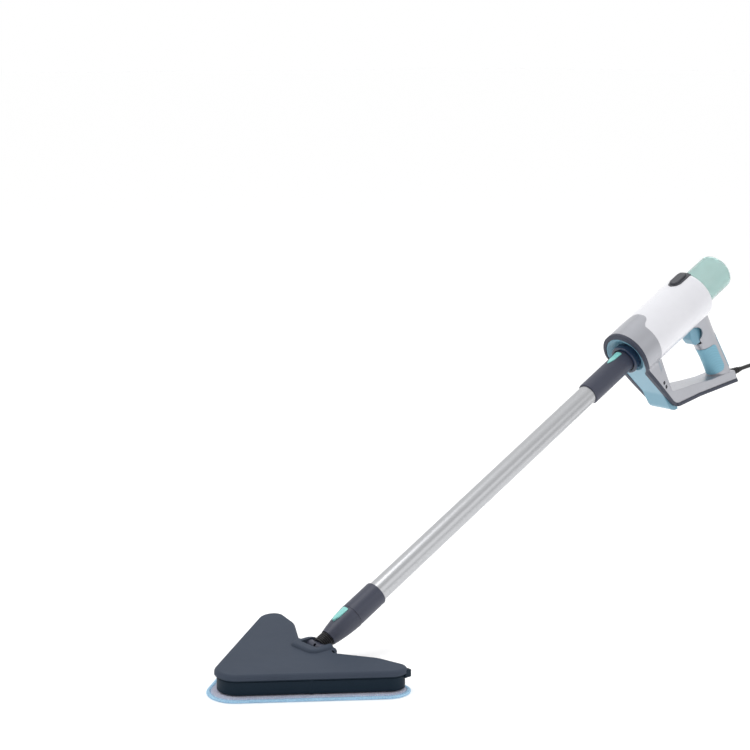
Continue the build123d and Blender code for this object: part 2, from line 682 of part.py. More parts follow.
def make_socket_seal():
    """Face seal at the bottom of the outlet's bore."""
    return rod(11.0, UPPER_END + 0.2, UPPER_END + 2) - rod(3.6, UPPER_END, UPPER_END + 3)


def panel_side(inset=0.0):
    """Side-view outline of the light blue front, with the toe that stands proud below."""
    corners = [
        (FACE + 1 + inset, -160),
        (FACE + 1 + inset, 8),
        (LEG_FRONT + 0.6 + inset, 92),
        (TOE_ALONG - 8 + inset, TOE_DROP + 3 - inset),
        (TOE_REAR, TOE_DROP + 7.5 - inset),
        (1200, TOE_DROP + 7.5 - inset + (1200 - TOE_REAR) * BASE_SLOPE),
        (1200, -160),
    ]
    return outline(corners, [0, 70, 30, 18, 30, 0, 0])


TOE_REAR = 787.0
DISH_FACE_RADIUS = 36.0
DISH_FLOOR_RADIUS = 26.0
DISH_DEPTH = 8.0


def dish_cone(grow, start, end):
    """Cone that narrows from the face of the dish to its floor."""
    narrowing = (DISH_FACE_RADIUS - DISH_FLOOR_RADIUS) / DISH_DEPTH
    radii = [DISH_FACE_RADIUS + grow - narrowing * depth for depth in (start, end)]
    ends = [Pos(0, 0, FACE + 1 + depth) * Circle(r) for depth, r in zip((start, end), radii)]
    return loft(ends)


def make_front_panel():
    """Light blue front: rim, dish round the outlet, and the strip down to the toe."""
    field = along_solid(panel_outline(-0.12), 650, TOE_REAR)
    inner_field = along_solid(panel_outline(-2.3), 650, TOE_REAR)
    skin = side_solid(panel_side()) - side_solid(panel_side(2.5))
    rim = (side_solid(panel_side()) - side_solid(behind(BUMPER_THICK))) & (field - inner_field)
    dish = dish_cone(1.8, -1, DISH_DEPTH) + rod(DISH_FLOOR_RADIUS + 1.8, FACE + 8, FACE + 10.6)
    dish &= side_solid(panel_side())
    panel = (skin & field) + rim + dish - dish_cone(0, -3, DISH_DEPTH)
    return panel - rod(SOCKET_RADIUS + 0.05, FACE - 9, FACE + 20) - base_bumper_solid(0.1)


def bumper_band():
    return side_solid(behind(0)) - side_solid(behind(BUMPER_THICK))


BASE_BUMPER_START = TOE_REAR


def make_front_bumper():
    """Dark horseshoe over the barrel's front and down both edges of the leg."""
    region = bumper_band() & along_solid(keyhole(), 650, BASE_BUMPER_START - 0.2) & plan_envelope()
    return region - along_solid(panel_outline(), 650, 900)


def base_bumper_solid(grow=0.0):
    region = bumper_band() & plan_solid(0.8 + grow)
    region &= block(60, (100, 260), (BASE_BUMPER_START - grow, BASE_REAR + 1.5))
    return region - GLAND * extrude(Circle(8.1), 20)


def make_body():
    """Silver body with every opening, before it is parted into halves."""
    body = body_outer() - body_inner()
    bosses = [cross_rod(4.2, 40, q, d) for q, d, side in BODY_SCREWS]
    bosses.append(cross_rod(3.4, 20, *TRIGGER_PIN))
    bosses.append(spring_seat())
    body += (Part() + bosses) & body_outer()
    behind_panel = along_solid(panel_outline(-3.9), 650, TOE_REAR - 4)
    body -= behind_panel & (side_solid(behind(0)) - side_solid(behind(14)))
    body -= trigger_slot() + trigger_recess()
    body -= front_grip_solid() + palm_grip_solid()
    for q, d, side in BODY_SCREWS:
        axis = screw_axis(q, d, side)
        body -= axis * Pos(0, 0, -12) * extrude(Circle(1.5), 60)
        body -= axis * Pos(0, 0, BODY_SCREW_HEAD) * extrude(Circle(3.2), 40)
    body -= cross_rod(1.5, TRIGGER_PIN_HALF, *TRIGGER_PIN)
    body -= GLAND * extrude(Circle(8.1), 20)
    return body - GLAND * extrude(Circle(GLAND_RADIUS), 12, both=True)


BODY_SCREWS = [(70, 771, 1), (79.5, 773, 1), (138, 852, -1), (166, 917, -1)]   # drop, along, side
BODY_SCREW_HEAD = 13.0
GLAND_RADIUS = 4.5
GLAND_DROP = 178.0
GLAND = Plane(origin=(0, GLAND_DROP, BASE_REAR), x_dir=(1, 0, 0), z_dir=(0, BASE_SLOPE, 1)).location


def screw_axis(drop, along, side):
    """Location on the middle plane whose Z points out of the side the screw's head is on."""
    return Pos(0, drop, along) * Rot(0, 90 * side, 0)


def make_body_screws():
    screws = []
    for q, d, side in BODY_SCREWS:
        axis = screw_axis(q, d, side) * Pos(0, 0, -11)
        shank = axis * extrude(Circle(1.5), BODY_SCREW_HEAD + 11)
        head = axis * Pos(0, 0, BODY_SCREW_HEAD + 11) * extrude(Circle(2.9), 2.2)
        cross = axis * Pos(0, 0, BODY_SCREW_HEAD + 13) * (Box(3.6, 0.8, 2.0) + Box(0.8, 3.6, 2.0))
        screws.append(shank + head - cross)
    return Compound(screws)


def trigger_slot():
    """Opening for the trigger in the front of the handle, under the barrel."""
    corners = [(850, 34), (919, 34), (919, 80), (850, 80)]
    return side_solid(outline(corners, [0, 0, 14, 0]), TRIGGER_HALF + 0.5) & block(30, (39.0, 90), (800, 960))


def trigger_recess():
    """Round notch through the front of the handle, in which the trigger sits."""
    return cross_rod(RECESS_RADIUS, 60, *RECESS)


def make_trigger():
    """Light blue trigger, hinged at its top."""
    corners = [(880, 41.8), (914, 41.8), (914, 52), (911.8, 66), (897, 76.5), (883, 74), (877, 58)]
    body = side_solid(outline(corners, [4, 3.6, 6, 8, 8, 7, 12]), TRIGGER_HALF)
    body = fillet(body.edges().filter_by_position(Axis.X, TRIGGER_HALF - 0.01, TRIGGER_HALF + 0.01), 1.8)
    body = fillet(body.edges().filter_by_position(Axis.X, -TRIGGER_HALF - 0.01, 0.01 - TRIGGER_HALF), 1.8)
    return body - cross_rod(1.5 + RUNNING_GAP, 20, *TRIGGER_PIN)


TRIGGER_PIN = (45.6, 910.0)
TRIGGER_PIN_HALF = 13.8
RECESS = (57.0, 885.0)
RECESS_RADIUS = 16.5


def make_trigger_pin():
    return cross_rod(1.5, TRIGGER_PIN_HALF, *TRIGGER_PIN)


def grip_region(low, high, front):
    """Block that takes the front or the rear part of the handle's wall."""
    shift = HANDLE_LEAN * (high - low)
    start, end = (850, 922.5) if front else (932.5, 990)
    corners = [(start, low), (end, low), (end + shift, high), (start + shift, high)]
    return side_solid(outline(corners, [9, 9, 9, 9]))


def grip_skin(proud):
    return handle_solid(-proud) - handle_solid(GRIP_DEPTH)


def front_grip_solid():
    return grip_skin(0.5) & grip_region(94, 150, True)


def palm_grip_solid():
    return grip_skin(0.4) & grip_region(82, 160, False)


def make_trim_strip():
    """Grey strip under the barrel, ahead of the trigger."""
    skin = barrel_solid(-2.4, 830, 868) - barrel_solid(0.0, 820, 880)
    face = RectangleRounded(15, 36, 5)
    return skin & (Pos(0, 55, 849) * extrude(TOP * face, 30))


def make_boiler():
    body = rod(BOILER_RADIUS, BOILER_START, BOILER_END, drop=BOILER_DROP)
    body += rod(4.5, BOILER_START - 5, BOILER_START, drop=BOILER_DROP)
    for x in (-11, 11):
        body -= rod(3.5, BOILER_START - 1, BOILER_END + 1, x=x, drop=BOILER_DROP)
    return body - rod(2.0, BOILER_START - 6, BOILER_END - 8, drop=BOILER_DROP)


def make_heating_element():
    """U-shaped element: two legs in the boiler joined behind it."""
    legs = [rod(3.5, BOILER_START - 2, BOILER_END + 4, x=x, drop=BOILER_DROP) for x in (-11, 11)]
    link = Pos(-11, BOILER_DROP, BOILER_END + 4) * Rot(0, 90, 0) * extrude(Circle(3.0), 22)
    return legs[0] + legs[1] + link


def make_thermostat():
    disc = drop_rod(8.0, BOILER_DROP - BOILER_RADIUS - 5, BOILER_DROP - BOILER_RADIUS + 2, along=812.0)
    return disc - rod(BOILER_RADIUS, 800, 824, drop=BOILER_DROP)


def make_water_pump():
    body = rod(13, 800, 838, drop=PUMP_DROP)
    body = fillet(body.edges().group_by(Axis.Z)[0], 1.5)
    return body + rod(3.6, 793, 800, drop=PUMP_DROP) + rod(3.6, 838, 841, drop=PUMP_DROP)


def make_suction_hose():
    """Short hose between the dock's nipple and the pump."""
    return rod(3.6, 841, DOCK - 6, drop=PUMP_DROP)


def bent_tube(points, radius, bend):
    """Round bar along straight runs in the side view, joined by arcs."""
    path = FilletPolyline(*[(0, q, d) for d, q in points], radius=bend)
    section = Plane(origin=path @ 0, z_dir=path % 0) * Circle(radius)
    return sweep(section, path=path)


def make_feed_hose():
    """Short elbow from the pump up into the underside of the boiler."""
    return bent_tube([(793, PUMP_DROP), (789, PUMP_DROP), (789, BOILER_DROP + BOILER_RADIUS)], 2.2, 2.5)


def make_steam_pipe():
    start, end = UPPER_END + 12, BOILER_START - 5
    return bent_tube([(start, 0), (start + 3, 0), (end - 3, BOILER_DROP), (end, BOILER_DROP)], 2.6, 2.7)


def make_circuit_board():
    board = Pos(-29, 0, 816) * Box(1.6, 34, 46)
    parts = [Pos(-26.7, q, d) * Box(3.0, 6, 8) for q, d in [(-10, 802), (0, 812), (10, 826), (-6, 830)]]
    return board + parts


def make_microswitch():
    return block(4.0, (48, 59), (919.5, 931.5)) + block(1.0, (55.5, 57.5), (916.2, 919.5))


def make_trigger_spring():
    return Pos(0, 62.6, 913.2) * helix_spring(1.6, 0.3, 8.4, 4)


def spring_seat():
    """Rib across the handle that the trigger's spring leans on."""
    return Pos(0, 63.2, 923.4) * Box(60, 4.4, 2.4)


def make_wire_harness():
    points = [(938.0, 175.3), (932.4, 173.1), (930, 150), (925, 120), (927.5, 60)]
    return bent_tube(points, 2.4, 3.6)


def make_strain_relief():
    """Ribbed rubber cone that the cord leaves the base through."""
    profile = [(0, -7), (GLAND_RADIUS, -7), (GLAND_RADIUS, 0), (8.0, 0), (8.0, 3)]
    ribs = 5
    for k in range(ribs):
        start = 3 + 5.4 * k
        radius = 7.0 - 0.42 * k
        profile += [(radius - 1.6, start), (radius - 1.6, start + 1.8), (radius, start + 1.8), (radius, start + 5.4)]
    profile += [(4.6, 30), (4.2, STRAIN_LENGTH), (0, STRAIN_LENGTH)]
    face = make_face(Polyline(*[(r, 0, z) for r, z in profile], close=True))
    return GLAND * revolve(face, Axis.Z, 360)


STRAIN_LENGTH = 37.0


# ---------------------------------------------------------------- mains cord (world frame)
CORD_START = (POLE * GLAND * Pos(0, 0, STRAIN_LENGTH)).position
CORD_NEXT = (POLE * GLAND * Pos(0, 0, STRAIN_LENGTH + 50)).position
FLOOR_CORD = CORD_DIAMETER / 2
CORD_ROUTE = [
    (CORD_START.X, CORD_START.Y, CORD_START.Z),
    (CORD_NEXT.X, CORD_NEXT.Y, CORD_NEXT.Z),
    (1.0, 1050.0, 320.0),
    (2.0, 1085.0, 275.0),
    (4.0, 1100.0, 210.0),
    (6.0, 1106.0, 140.0),
    (10.0, 1107.0, 75.0),
    (25.0, 1106.5, 24.0),
    (60.0, 1106.0, FLOOR_CORD),
    (95.0, 1106.0, FLOOR_CORD + 0.4),
]


def corner_radii(points):
    """Largest radii that fit: 0.45 of the shorter run over the tangent of half the turn."""
    radii = []
    corners = [Vector(*p) for p in points]
    for before, here, after in zip(corners, corners[1:], corners[2:]):
        turn = (here - before).get_angle(after - here)
        shorter = min((here - before).length, (after - here).length)
        radii.append(0.45 * shorter / math.tan(math.radians(turn) / 2))
    return radii


def make_power_cord():
    radii = corner_radii(CORD_ROUTE)
    path = FilletPolyline(*CORD_ROUTE, radius=radii)
    tube = sweep(Plane(origin=path @ 0, z_dir=path % 0) * Circle(CORD_DIAMETER / 2), path=path)
    wanted = math.pi * CORD_DIAMETER ** 2 / 4 * path.length
    print("cord starts", [round(v, 2) for v in (*CORD_START, *CORD_NEXT)])
    print("cord radii", [round(r, 1) for r in radii])
    print(f"cord run {path.length:.1f}, volume {tube.volume:.0f} against {wanted:.0f}")
    return tube


def make_cord_coil():
    """Wound cord on the floor, as one plain ring."""
    half = COIL_COLUMNS * CORD_DIAMETER / 2
    ring = Circle(COIL_MEAN_RADIUS + half) - Circle(COIL_MEAN_RADIUS - half)
    return Pos(*COIL_CENTRE, 0) * extrude(ring, COIL_LAYERS * CORD_DIAMETER)


PLUG_LENGTH = 42.0
PLUG_WIDE = 36.0
PLUG_THICK = 26.0
PIN_SPACING = 19.0
PIN_RADIUS = 2.4
PIN_LENGTH = 19.0
COIL_TOP = COIL_LAYERS * CORD_DIAMETER
PLUG_AT = Plane(
    origin=(COIL_CENTRE[0] + PLUG_LENGTH / 2 + 6, COIL_CENTRE[1] - COIL_MEAN_RADIUS, COIL_TOP + PLUG_THICK / 2),
    x_dir=(0, 1, 0),
    z_dir=(-1, 0, 0),
).location


def make_plug_body():
    """Moulded two-pin plug body, lying on the coil with its tail towards the cord."""
    tail = Pos(0, 0, 0) * RectangleRounded(11, 11, 5.4)
    waist = Pos(0, 0, 16) * RectangleRounded(24, 20, 8)
    face = Pos(0, 0, 30) * RectangleRounded(PLUG_WIDE, PLUG_THICK, 10)
    front = Pos(0, 0, PLUG_LENGTH) * RectangleRounded(PLUG_WIDE, PLUG_THICK, 10)
    body = loft([tail, waist, face]) + loft([face, front])
    for x in (-PIN_SPACING / 2, PIN_SPACING / 2):
        body -= Pos(x, 0, PLUG_LENGTH - 8) * extrude(Circle(PIN_RADIUS), 10)
    return PLUG_AT * body


def make_plug_pins():
    pins = []
    for x in (-PIN_SPACING / 2, PIN_SPACING / 2):
        pin = Pos(x, 0, PLUG_LENGTH - 8) * extrude(Circle(PIN_RADIUS), PIN_LENGTH + 8)
        pins.append(fillet(pin.edges().group_by(Axis.Z)[-1], 1.0))
    return PLUG_AT * Compound(pins)


# ---------------------------------------------------------------- files
save("head_top_cover", make_head_top_cover())
save("head_base", make_head_base())
save("steam_distributor", make_steam_distributor())
save("hook_strips", make_hook_strips())
save("cloth_catches", make_cloth_catches())
save("head_screws", make_head_screws())
cloth, hem = make_cloth()
save("mop_cloth", cloth)
save("cloth_hem", hem)

save("joint_yoke", make_joint_yoke(), in_pole_frame=True)
save("pitch_pins", make_pitch_pins(), in_pole_frame=True)
save("swing_pin", make_swing_pin(), in_pole_frame=True)
save("mop_neck", make_mop_neck(), in_pole_frame=True)
save("neck_seal", o_ring(NECK_SEAL), in_pole_frame=True)
save("neck_button", leaf_button(NECK_LEAF, NECK_TOP_RADIUS - 0.6), in_pole_frame=True)
save("neck_button_spring", leaf_spring_coil(NECK_LEAF), in_pole_frame=True)
save("bellows", make_bellows(), in_pole_frame=True)

save("lower_coupling", make_lower_coupling(), in_pole_frame=True)
save("extension_tube", make_extension_tube(), in_pole_frame=True)
save("steam_hose", make_steam_hose(), in_pole_frame=True)
save("upper_coupling", make_upper_coupling(), in_pole_frame=True)
save("pole_seal", o_ring(UPPER_SEAL), in_pole_frame=True)
save("pole_button", leaf_button(UPPER_LEAF, COUPLING_RADIUS), in_pole_frame=True)
save("pole_button_spring", leaf_spring_coil(UPPER_LEAF), in_pole_frame=True)

body = make_body()
save("left_shell", body & Pos(-60, 60, 850) * Box(120, 320, 320), in_pole_frame=True)
save("right_shell", body & Pos(60, 60, 850) * Box(120, 320, 320), in_pole_frame=True)
save("barrel_cover", barrel_cover(), in_pole_frame=True)
save("outlet_socket", make_outlet_socket(), in_pole_frame=True)
save("outlet_seal", make_socket_seal(), in_pole_frame=True)
save("front_panel", make_front_panel(), in_pole_frame=True)
save("front_bumper", make_front_bumper(), in_pole_frame=True)
save("base_bumper", base_bumper_solid(), in_pole_frame=True)
save("front_grip", front_grip_solid(), in_pole_frame=True)
save("palm_grip", palm_grip_solid(), in_pole_frame=True)
save("trim_strip", make_trim_strip(), in_pole_frame=True)
save("body_screws", make_body_screws(), in_pole_frame=True)
save("tank_collar", make_tank_collar(), in_pole_frame=True)
save("tank_dock", make_tank_dock(), in_pole_frame=True)
save("boiler", make_boiler(), in_pole_frame=True)
save("heating_element", make_heating_element(), in_pole_frame=True)
save("thermostat", make_thermostat(), in_pole_frame=True)
save("water_pump", make_water_pump(), in_pole_frame=True)
save("suction_hose", make_suction_hose(), in_pole_frame=True)
save("feed_hose", make_feed_hose(), in_pole_frame=True)
save("steam_pipe", make_steam_pipe(), in_pole_frame=True)
save("circuit_board", make_circuit_board(), in_pole_frame=True)
save("microswitch", make_microswitch(), in_pole_frame=True)
save("wire_harness", make_wire_harness(), in_pole_frame=True)
save("trigger_pin", make_trigger_pin(), in_pole_frame=True)
save("strain_relief", make_strain_relief(), in_pole_frame=True)

save("trigger", make_trigger(), in_pole_frame=True)
save("trigger_spring", make_trigger_spring(), in_pole_frame=True)
save("tank_button", make_tank_button(), in_pole_frame=True)
save("tank_button_spring", make_tank_button_spring(), in_pole_frame=True)
save("water_tank", make_water_tank(), in_pole_frame=True)
save("tank_cap", make_tank_cap(), in_pole_frame=True)
save("tank_valve", make_tank_valve(), in_pole_frame=True)

save("power_cord", make_power_cord())
save("cord_coil", make_cord_coil())
save("plug_body", make_plug_body())
save("plug_pins", make_plug_pins())
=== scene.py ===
import math
import random

import bmesh
import bpy
from mathutils import Matrix, Vector


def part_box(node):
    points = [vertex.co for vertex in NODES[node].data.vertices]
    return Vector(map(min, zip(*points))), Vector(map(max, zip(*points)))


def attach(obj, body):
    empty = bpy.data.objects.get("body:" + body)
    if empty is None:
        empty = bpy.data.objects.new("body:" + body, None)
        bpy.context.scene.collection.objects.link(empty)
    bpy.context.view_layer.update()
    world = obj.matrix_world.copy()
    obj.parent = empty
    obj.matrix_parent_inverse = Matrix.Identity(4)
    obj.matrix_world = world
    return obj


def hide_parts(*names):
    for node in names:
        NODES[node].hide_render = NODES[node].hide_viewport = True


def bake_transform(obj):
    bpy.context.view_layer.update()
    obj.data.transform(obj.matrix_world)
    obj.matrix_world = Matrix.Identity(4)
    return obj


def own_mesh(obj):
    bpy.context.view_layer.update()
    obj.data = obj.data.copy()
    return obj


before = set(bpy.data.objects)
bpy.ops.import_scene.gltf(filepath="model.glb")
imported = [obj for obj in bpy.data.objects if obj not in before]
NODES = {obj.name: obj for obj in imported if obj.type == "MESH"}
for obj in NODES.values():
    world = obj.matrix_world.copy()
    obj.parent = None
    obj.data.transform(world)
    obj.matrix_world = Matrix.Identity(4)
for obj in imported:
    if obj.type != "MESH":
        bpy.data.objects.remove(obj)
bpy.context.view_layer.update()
random.seed(7)

# ---------------------------------------------------------------- pole frame
# The pole leans over the floor from the head's joint: x across, drop square to the pole, along up it.
MM = 0.001
LEAN = math.radians(27.7)
JOINT_HEIGHT = 30.0  # mm over the floor
COS, SIN = math.cos(LEAN), math.sin(LEAN)


def pole(x, drop, along):
    """Point of the pole frame (mm) in the row frame (m)."""
    return Vector((x, along * COS + drop * SIN, JOINT_HEIGHT + along * SIN - drop * COS)) * MM


# ---------------------------------------------------------------- camera
CAMERA_PLACE = Vector((1.76443, -1.41177, 0.86518))
CAMERA_HEADING = math.radians(49.262)  # of the camera's right hand, over the floor from +X
CAMERA_TILT = math.radians(11.0)  # down from level
RIGHT = Vector((math.cos(CAMERA_HEADING), math.sin(CAMERA_HEADING), 0.0))
LEVEL = Vector((-RIGHT.y, RIGHT.x, 0.0))
FORWARD = LEVEL * math.cos(CAMERA_TILT) - Vector((0, 0, 1)) * math.sin(CAMERA_TILT)
UP = RIGHT.cross(FORWARD)
FOCAL_LENGTH = 80.0
SENSOR_WIDTH = 36.0
FAR_CLIP = 200.0
camera_data = bpy.data.cameras.new("camera")
camera_data.lens = FOCAL_LENGTH
camera_data.sensor_width = SENSOR_WIDTH
camera_data.clip_end = FAR_CLIP
camera = bpy.data.objects.new("camera", camera_data)
bpy.context.scene.collection.objects.link(camera)
bpy.context.scene.camera = camera
turn = Matrix((RIGHT, UP, -FORWARD)).transposed()
camera.matrix_world = Matrix.Translation(CAMERA_PLACE) @ turn.to_4x4()


# ---------------------------------------------------------------- materials
class Nodes:
    """Short hand for building a shader."""

    def __init__(self, name):
        self.material = bpy.data.materials.new(name)
        self.material.use_nodes = True
        self.tree = self.material.node_tree
        self.shader = self.tree.nodes["Principled BSDF"]
        coordinates = self.tree.nodes.new("ShaderNodeTexCoord")
        self.place = coordinates.outputs["Object"]

    def set(self, **values):
        for key, value in values.items():
            self.shader.inputs[key.replace("_", " ")].default_value = value

    def node(self, kind, inputs=None, **settings):
        made = self.tree.nodes.new(kind)
        for key, value in settings.items():
            setattr(made, key, value)
        for key, value in (inputs or {}).items():
            socket = made.inputs[key]
            if isinstance(value, bpy.types.NodeSocket):
                self.tree.links.new(value, socket)
            else:
                socket.default_value = value
        return made

    def link(self, socket, name):
        self.tree.links.new(socket, self.shader.inputs[name])

    def noise(self, scale, detail=3.0, roughness=0.55, stretch=None):
        place = self.place
        if stretch:
            place = self.node("ShaderNodeMapping", {"Vector": place, "Scale": stretch}).outputs["Vector"]
        made = self.node(
            "ShaderNodeTexNoise",
            {"Vector": place, "Scale": scale, "Detail": detail, "Roughness": roughness},
        )
        return made.outputs["Fac"]

    def ramp(self, fac, low, high, start=0.35, end=0.65):
        made = self.node("ShaderNodeValToRGB", {"Fac": fac})
        made.color_ramp.elements[0].position = start
        made.color_ramp.elements[0].color = (*low, 1)
        made.color_ramp.elements[1].position = end
        made.color_ramp.elements[1].color = (*high, 1)
        return made.outputs["Color"]

    def spread(self, fac, low, high):
        made = self.node("ShaderNodeMapRange", {"Value": fac, "To Min": low, "To Max": high})
        return made.outputs["Result"]

    def bump(self, height, distance, strength=1.0, edge=0.0):
        """Relief from a height, with edges softened over a radius where one is given."""
        made = self.node("ShaderNodeBump", {"Height": height, "Distance": distance, "Strength": strength})
        if edge:
            soft = self.node("ShaderNodeBevel", {"Radius": edge}, samples=4)
            self.tree.links.new(soft.outputs["Normal"], made.inputs["Normal"])
        self.link(made.outputs["Normal"], "Normal")


def linear(colour):
    """sRGB to the renderer's linear light."""
    return tuple(c / 12.92 if c <= 0.04045 else ((c + 0.055) / 1.055) ** 2.4 for c in colour)


def shade(colour, factor):
    return tuple(min(1.0, c * factor) for c in colour)


def plastic(
    name,
    colour,
    roughness,
    grain=0.00002,
    grain_scale=900.0,
    vary=0.03,
    coat=0.0,
    edge=0.0008,
    flake=0.0,
    gloss=0.5,
):
    """Moulded plastic: a fine sparked grain, slight tone drift and a roughness that wanders.

    Grain is its depth and vary the drift; edge is the radius that corners are softened over; flake is
    how metallic the paint is; gloss is the shader's specular level.
    """
    n = Nodes(name)
    base = linear(colour)
    n.link(n.ramp(n.noise(14.0, 4.0), shade(base, 1 - vary), shade(base, 1 + vary)), "Base Color")
    n.link(n.spread(n.noise(60.0, 4.0), roughness - 0.05, roughness + 0.05), "Roughness")
    n.set(Coat_Weight=coat, Coat_Roughness=0.12, Metallic=flake, Specular_IOR_Level=gloss)
    n.bump(n.noise(grain_scale, 2.0), grain, edge=edge)
    return n.material


def metal(name, colour, roughness, stretch, streak_scale=260.0, bump=0.000008):
    """Metal with fine streaks along one direction."""
    n = Nodes(name)
    base = linear(colour)
    n.set(Metallic=1.0)
    streaks = n.noise(streak_scale, 3.0, 0.6, stretch)
    n.link(n.ramp(streaks, shade(base, 0.86), shade(base, 1.06), 0.3, 0.7), "Base Color")
    n.link(n.spread(streaks, roughness - 0.07, roughness + 0.09), "Roughness")
    n.bump(streaks, bump)
    return n.material


def rubber(name, colour, roughness=0.62, grain=0.00003):
    n = Nodes(name)
    base = linear(colour)
    n.link(n.ramp(n.noise(40.0, 4.0), shade(base, 0.85), shade(base, 1.25)), "Base Color")
    n.link(n.spread(n.noise(90.0), roughness - 0.08, roughness + 0.08), "Roughness")
    n.bump(n.noise(1400.0, 2.0), grain)
    return n.material


def fabric(name, light, dark, pile_scale, height, sheen=0.4):
    """Looped microfibre: clumps of pile over a knitted ground, the colour light on the clumps and dark in the
    hollows between them, which is painted shade.
    """
    n = Nodes(name)
    cells = n.node("ShaderNodeTexVoronoi", {"Vector": n.place, "Scale": pile_scale}, feature="F1")
    pile = cells.outputs["Distance"]
    soft = n.noise(pile_scale * 0.35, 4.0, 0.6)
    hollow_shade_and_depth = n.node("ShaderNodeMath", {0: pile, 1: soft}, operation="ADD").outputs["Value"]
    # painted shade: the dark colour lies where the pile sinks lowest, with some random tone from the noise
    n.link(n.ramp(hollow_shade_and_depth, linear(light), linear(dark), 0.35, 1.2), "Base Color")
    n.set(Roughness=0.95, Sheen_Weight=sheen, Sheen_Roughness=0.5)
    n.bump(n.node("ShaderNodeMath", {0: hollow_shade_and_depth, 1: -1.0}, operation="MULTIPLY").outputs["Value"], height)
    return n.material


def overlock(name, colour, dark, scale):
    """Thread wrapped round the cloth's edge: finely mottled, darker where the bump sinks, which is painted
    shade between the strands that lie close.
    """
    n = Nodes(name)
    grain = n.noise(scale, 2.0, 0.6)
    # painted shade: the dark colour lies where the grain is low, between the strands
    n.link(n.ramp(grain, linear(dark), linear(colour), 0.35, 0.6), "Base Color")
    n.set(Roughness=0.9, Sheen_Weight=0.3, Sheen_Roughness=0.5)
    n.bump(grain, 0.0002)
    return n.material


def chevron(name, colour, pitch_mm):
    """Soft moulded inlay with a fine chevron relief, drawn in the object's own axes, x across and z up."""
    n = Nodes(name)
    base = linear(colour)
    split = n.node("ShaderNodeSeparateXYZ", {"Vector": n.place})
    across = n.node("ShaderNodeMath", {0: split.outputs["X"]}, operation="ABSOLUTE").outputs["Value"]
    up = n.node("ShaderNodeMath", {0: split.outputs["Z"], 1: across}, operation="ADD").outputs["Value"]
    turns = 2 * math.pi / (pitch_mm * MM)
    phase = n.node("ShaderNodeMath", {0: up, 1: turns}, operation="MULTIPLY").outputs["Value"]
    wave = n.node("ShaderNodeMath", {0: phase}, operation="SINE").outputs["Value"]
    level = n.spread(wave, 0.0, 1.0)
    level.node.inputs["From Min"].default_value = -1.0
    # painted shade: darker in the troughs of the relief, lighter on its crests
    n.link(n.ramp(level, shade(base, 0.9), shade(base, 1.03), 0.2, 0.75), "Base Color")
    n.link(n.spread(n.noise(80.0), 0.45, 0.6), "Roughness")
    n.bump(level, 0.00016)
    return n.material


def clear_tank(name):
    """Tinted clear plastic, with painted shade: the colour darkens where the wall is seen edge on, standing
    in for light lost along the longer path through it.
    """
    n = Nodes(name)
    # painted shade: a darker colour where the wall turns edge on to the camera
    painted_edge_shade = n.node("ShaderNodeLayerWeight", {"Blend": 0.5}).outputs["Facing"]
    cloud = n.node("ShaderNodeMath", {0: n.noise(9.0, 2.0), 1: 0.12}, operation="MULTIPLY").outputs["Value"]
    depth = n.node("ShaderNodeMath", {0: painted_edge_shade, 1: cloud}, operation="ADD").outputs["Value"]
    n.link(n.ramp(depth, linear((0.87, 0.95, 0.94)), linear((0.60, 0.80, 0.775)), 0.25, 1.0), "Base Color")
    n.set(Transmission_Weight=0.72, IOR=1.35, Coat_Weight=0.4, Coat_Roughness=0.08)
    n.link(n.spread(n.noise(30.0), 0.16, 0.24), "Roughness")
    n.bump(n.noise(300.0, 2.0), 0.00001)
    return n.material


